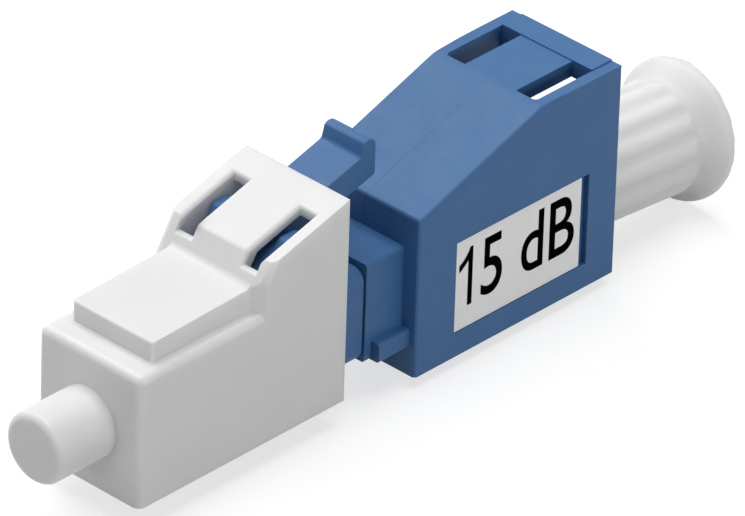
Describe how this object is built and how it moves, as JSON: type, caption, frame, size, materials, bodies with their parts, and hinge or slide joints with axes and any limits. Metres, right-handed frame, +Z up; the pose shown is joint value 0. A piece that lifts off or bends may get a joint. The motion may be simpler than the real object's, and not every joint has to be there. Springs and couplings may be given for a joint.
{
  "type": "lc fibre attenuator",
  "caption": "Plug-in fibre attenuator: latched square plug on a sloped housing with a socket and label, a sprung ferrule inside, a dust cap on the plug and a fluted dust plug.",
  "frame": {"origin": "middle of the housing's flat base", "axes": "+X along the fibre from the plug to the socket, +Y across away from the label, +Z up"},
  "size_m": [0.0388, 0.0064, 0.0117],
  "materials": {
    "blue_plastic": "satin moulded",
    "white_plastic": "satin moulded",
    "label_paper": "matte film",
    "zirconia": "polished ceramic",
    "fibre_glass": "polished",
    "nickel_brass": "plated",
    "spring_steel": "drawn wire"
  },
  "bodies": {
    "body": {"attenuator_housing": "blue_plastic", "rating_label": "label_paper", "plug_housing": "blue_plastic", "ferrule_spring": "spring_steel", "spring_seat": "nickel_brass", "split_sleeve": "zirconia", "sleeve_holder": "blue_plastic"},
    "latch": {"latch_lever": "blue_plastic"},
    "ferrule_unit": {"ferrule": "zirconia", "doped_fibre": "fibre_glass", "ferrule_collar": "nickel_brass"},
    "front_cap": {"front_dust_cap": "white_plastic"},
    "rear_plug": {"rear_dust_plug": "white_plastic"}
  },
  "joints": [
    {"name": "front_cap_pull", "type": "slide", "parent": "body", "child": "front_cap", "axis": [-1, 0, 0], "range_m": [0, 0.012]},
    {"name": "rear_plug_pull", "type": "slide", "parent": "body", "child": "rear_plug", "axis": [0.9962, 0, -0.0872], "range_m": [0, 0.012]},
    {"name": "latch_press", "type": "hinge", "parent": "body", "child": "latch", "pos_m": [-0.0181, 0, 0.00583], "axis": [0, 1, 0], "range_deg": [0, 8], "stiffness_Nm_per_rad": 0.17},
    {"name": "ferrule_float", "type": "slide", "parent": "body", "child": "ferrule_unit", "axis": [1, 0, 0], "range_m": [0, 0.001], "stiffness_N_per_m": 1500, "springref_m": -0.003, "deforming": ["ferrule_spring"]}
  ]
}
